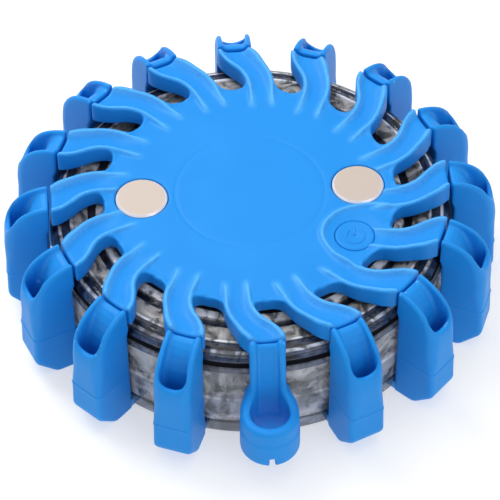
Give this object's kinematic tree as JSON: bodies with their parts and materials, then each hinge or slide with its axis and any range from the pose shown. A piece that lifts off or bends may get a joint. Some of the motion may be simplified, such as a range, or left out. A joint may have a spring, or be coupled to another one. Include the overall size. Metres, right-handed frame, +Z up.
{
  "type": "led safety flare",
  "caption": "Puck-shaped rechargeable LED road flare: blue rubber cage with swirled posts round a clear lens, push button, charging contacts and a hanging eye.",
  "frame": {"origin": "on the flare's axis, in the plane of its feet", "axes": "+Z up the flare's axis, -Y out through the hanging eye, +X out through the charging contact nearer the power button"},
  "size_m": [0.1248, 0.1279, 0.036],
  "materials": {
    "blue_rubber": "satin",
    "blue_button": "satin",
    "black_seal": "matt",
    "clear_plastic": "gloss",
    "contact_metal": "satin",
    "zinc_steel": "satin",
    "gold_plate": "gloss",
    "mirror_plastic": "gloss",
    "board_green": "satin",
    "carrier_white": "matt",
    "led_white": "gloss",
    "chip_black": "matt",
    "chip_tan": "matt",
    "cell_foil": "satin",
    "tray_white": "satin",
    "foam_grey": "matt",
    "lead_red": "satin",
    "plug_white": "satin",
    "magnet_nickel": "gloss"
  },
  "bodies": {
    "case": {"top_cover": "blue_rubber", "cage": "blue_rubber", "lower_lens": "clear_plastic", "upper_lens": "clear_plastic", "lens_gasket": "black_seal", "contact_seals": "black_seal", "button_seal": "black_seal", "charge_contact_right": "contact_metal", "charge_contact_left": "contact_metal", "contact_nuts": "zinc_steel", "contact_springs": "gold_plate", "contact_pads": "gold_plate", "tact_switch": "chip_black", "circuit_board": "board_green", "led_carrier_ring": "carrier_white", "edge_leds": "led_white", "reflector_ring": "mirror_plastic", "charge_controller_chip": "chip_black", "microcontroller_chip": "chip_black", "driver_inductor": "chip_black", "chip_capacitors": "chip_tan", "battery_cell": "cell_foil", "battery_tray": "tray_white", "foam_pad": "foam_grey", "battery_leads": "lead_red", "battery_plug": "plug_white", "battery_socket": "plug_white", "base_magnet": "magnet_nickel", "magnet_back_plate": "zinc_steel", "case_screws": "zinc_steel", "cover_screws": "zinc_steel", "board_screws": "zinc_steel"},
    "button": {"power_button": "blue_button"},
    "plunger": {"switch_plunger": "chip_tan"}
  },
  "joints": [
    {"name": "button_press", "type": "slide", "parent": "case", "child": "button", "axis": [0, 0, -1], "range_m": [0, 0.0006], "stiffness_N_per_m": 1500, "springref_m": -0.0006},
    {"name": "plunger_press", "type": "slide", "parent": "case", "child": "plunger", "axis": [0, 0, -1], "range_m": [0, 0.0006]}
  ],
  "couplings": [
    {"joint": "plunger_press", "follows": "button_press", "ratio": 1}
  ]
}
